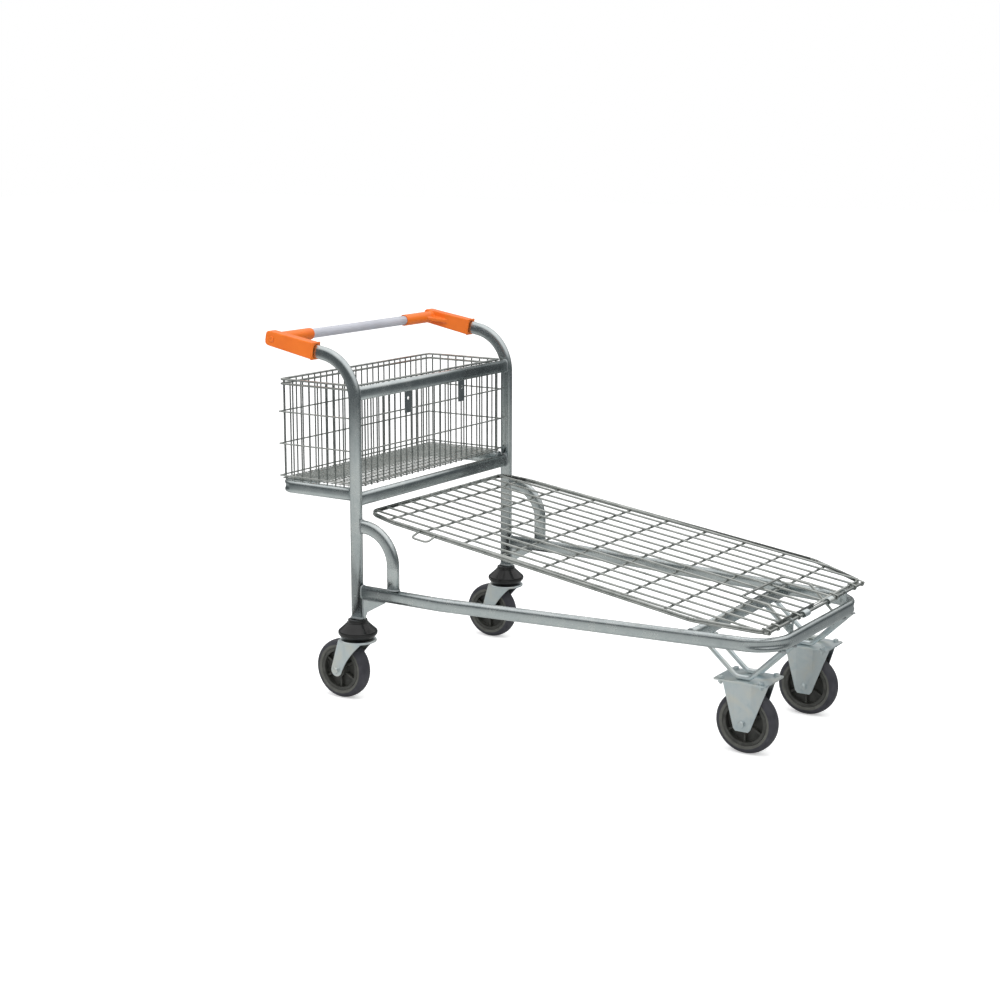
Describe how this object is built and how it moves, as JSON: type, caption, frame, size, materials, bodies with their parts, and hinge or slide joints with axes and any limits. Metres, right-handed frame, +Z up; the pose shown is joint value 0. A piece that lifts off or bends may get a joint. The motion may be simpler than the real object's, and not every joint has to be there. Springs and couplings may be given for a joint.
{
  "type": "luggage trolley",
  "caption": "Nesting luggage trolley: flat-oval steel frame, wire basket below a push grip, swivelling rear castors, and a sprung wire deck hinged at the front.",
  "frame": {"origin": "on the floor under the middle of the trolley's bounding box, midway between its two sides", "axes": "+X forward, away from the grip; +Y to the trolley's left as it is pushed; +Z up"},
  "size_m": [1.452, 0.8316, 0.9722],
  "materials": {
    "galvanised_tube": "galvanised flat-oval tube, dull bluish zinc with bright edges",
    "zinc_wire": "zinc-plated steel wire, satin",
    "bright_zinc": "bright bluish zinc plating on pressed sheet, rod and bolts",
    "orange_plastic": "moulded orange plastic, fine grain",
    "grip_plastic": "smooth lilac-grey plastic tube",
    "black_plastic": "black moulded plastic, semi-gloss",
    "hub_plastic": "dark grey-green moulded nylon",
    "grey_rubber": "grey non-marking rubber, matt"
  },
  "bodies": {
    "frame": {"chassis_rail": "galvanised_tube", "chassis_cross_member": "galvanised_tube", "basket_top_rail": "galvanised_tube", "basket_lower_rail": "galvanised_tube", "basket_base_rail": "galvanised_tube", "basket_front_wall": "zinc_wire", "basket_rear_wall": "zinc_wire", "basket_floor": "zinc_wire", "basket_rim_wire": "zinc_wire", "deck_stop_bow": "zinc_wire", "handle_grip": "grip_plastic", "right_upright": "galvanised_tube", "right_arch_brace": "galvanised_tube", "right_gusset": "galvanised_tube", "right_basket_wall": "zinc_wire", "right_hanger_plate": "galvanised_tube", "right_hinge_bracket": "galvanised_tube", "right_hinge_spring": "bright_zinc", "right_handle_elbow": "orange_plastic", "right_elbow_screw": "orange_plastic", "right_inner_hanger_rod": "bright_zinc", "right_outer_hanger_rod": "bright_zinc", "right_front_fork": "bright_zinc", "right_front_axle": "bright_zinc", "right_castor_bumper": "black_plastic", "right_castor_stem": "bright_zinc", "left_upright": "galvanised_tube", "left_arch_brace": "galvanised_tube", "left_gusset": "galvanised_tube", "left_basket_wall": "zinc_wire", "left_hanger_plate": "galvanised_tube", "left_hinge_bracket": "galvanised_tube", "left_hinge_spring": "bright_zinc", "left_handle_elbow": "orange_plastic", "left_elbow_screw": "orange_plastic", "left_inner_hanger_rod": "bright_zinc", "left_outer_hanger_rod": "bright_zinc", "left_front_fork": "bright_zinc", "left_front_axle": "bright_zinc", "left_castor_bumper": "black_plastic", "left_castor_stem": "bright_zinc"},
    "deck": {"deck_grid": "zinc_wire", "right_rest_loop": "zinc_wire", "left_rest_loop": "zinc_wire"},
    "right_rear_castor": {"right_rear_fork": "bright_zinc", "right_rear_axle": "bright_zinc"},
    "right_rear_wheel": {"right_rear_rim": "hub_plastic", "right_rear_tyre": "grey_rubber"},
    "right_front_wheel": {"right_front_rim": "hub_plastic", "right_front_tyre": "grey_rubber"},
    "left_rear_castor": {"left_rear_fork": "bright_zinc", "left_rear_axle": "bright_zinc"},
    "left_rear_wheel": {"left_rear_rim": "hub_plastic", "left_rear_tyre": "grey_rubber"},
    "left_front_wheel": {"left_front_rim": "hub_plastic", "left_front_tyre": "grey_rubber"}
  },
  "joints": [
    {"name": "deck_hinge", "type": "hinge", "parent": "frame", "child": "deck", "pos_m": [0.709, 0, 0.341], "axis": [0, 1, 0], "range_deg": [-9.1, 0], "stiffness_Nm_per_rad": 30, "springref_deg": 85.94},
    {"name": "right_castor_swivel", "type": "hinge", "parent": "frame", "child": "right_rear_castor", "pos_m": [-0.44, -0.3635, 0.165], "axis": [0, 0, 1], "continuous": true},
    {"name": "right_rear_roll", "type": "hinge", "parent": "right_rear_castor", "child": "right_rear_wheel", "pos_m": [-0.489, -0.3635, 0.08], "axis": [0, 1, 0], "continuous": true},
    {"name": "right_front_roll", "type": "hinge", "parent": "frame", "child": "right_front_wheel", "pos_m": [0.614, -0.184, 0.08], "axis": [0, 1, 0], "continuous": true},
    {"name": "left_castor_swivel", "type": "hinge", "parent": "frame", "child": "left_rear_castor", "pos_m": [-0.44, 0.3635, 0.165], "axis": [0, 0, 1], "continuous": true},
    {"name": "left_rear_roll", "type": "hinge", "parent": "left_rear_castor", "child": "left_rear_wheel", "pos_m": [-0.489, 0.3635, 0.08], "axis": [0, 1, 0], "continuous": true},
    {"name": "left_front_roll", "type": "hinge", "parent": "frame", "child": "left_front_wheel", "pos_m": [0.614, 0.184, 0.08], "axis": [0, 1, 0], "continuous": true}
  ]
}
